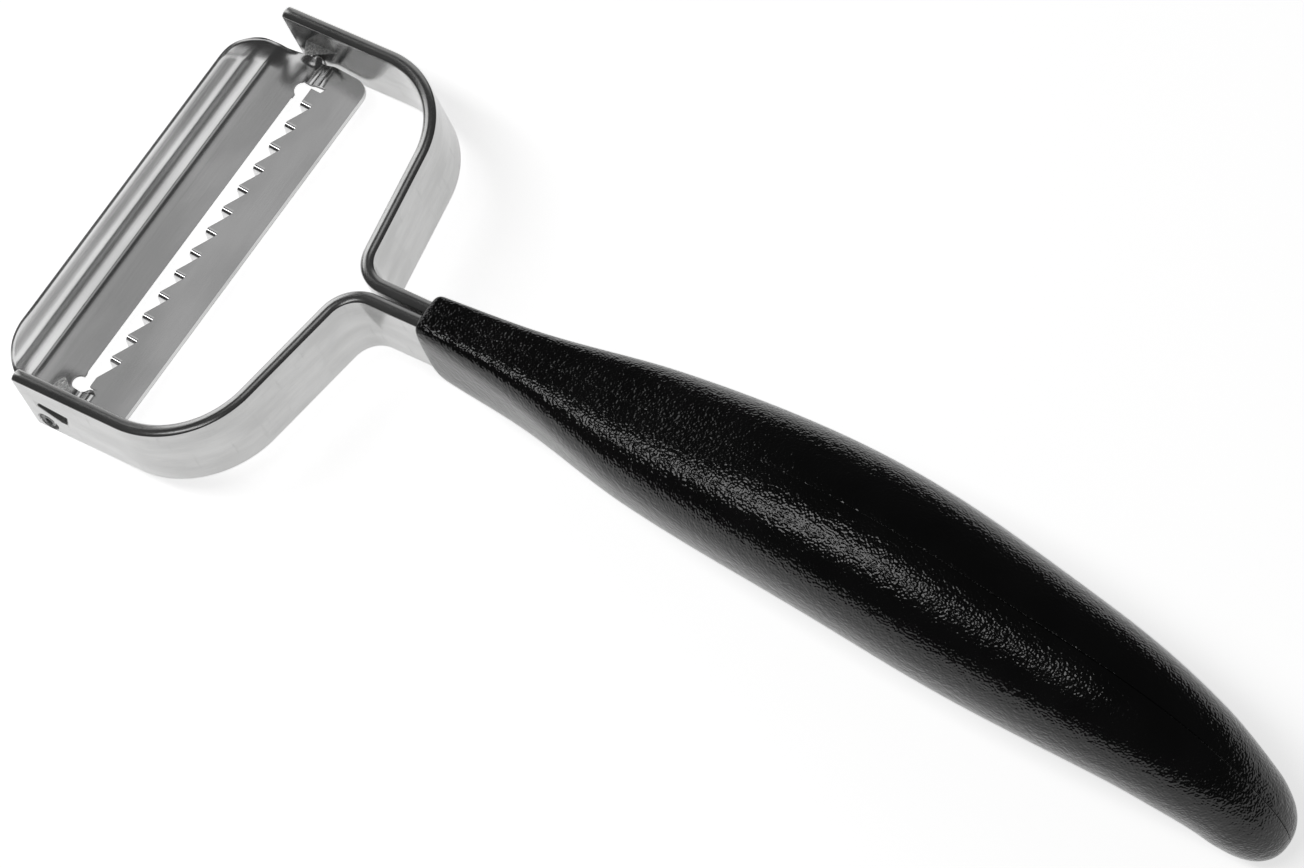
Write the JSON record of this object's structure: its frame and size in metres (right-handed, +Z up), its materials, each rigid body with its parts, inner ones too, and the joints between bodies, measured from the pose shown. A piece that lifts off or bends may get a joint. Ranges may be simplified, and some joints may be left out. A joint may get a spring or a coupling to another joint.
{
  "type": "julienne peeler",
  "caption": "Y-shaped julienne peeler: a strip steel yoke in a drooping black moulded handle carries a swivelling slotted blade with slitting fins that shreds vegetables into fine strips",
  "frame": {"origin": "centre of the underside of the bounding box, on the table the peeler lies on", "axes": "+X along the peeler from the blade to the handle's tail, +Y across the yoke towards the right arm, +Z up from the table"},
  "size_m": [0.2006, 0.071, 0.0381],
  "materials": {
    "strip_steel": "satin drawn stainless flat wire with rounded edges",
    "blade_steel": "satin rolled stainless sheet with polished ridges",
    "handle_plastic": "black moulded plastic with a fine grain"
  },
  "bodies": {
    "frame": {"arm_left": "strip_steel", "arm_right": "strip_steel", "handle_left": "handle_plastic", "handle_right": "handle_plastic"},
    "blade": {"blade": "blade_steel"}
  },
  "joints": [
    {"name": "blade_swivel", "type": "hinge", "parent": "frame", "child": "blade", "pos_m": [-0.08699, 0, 0.00282], "axis": [0, 1, 0], "range_deg": [-40, 74]}
  ]
}
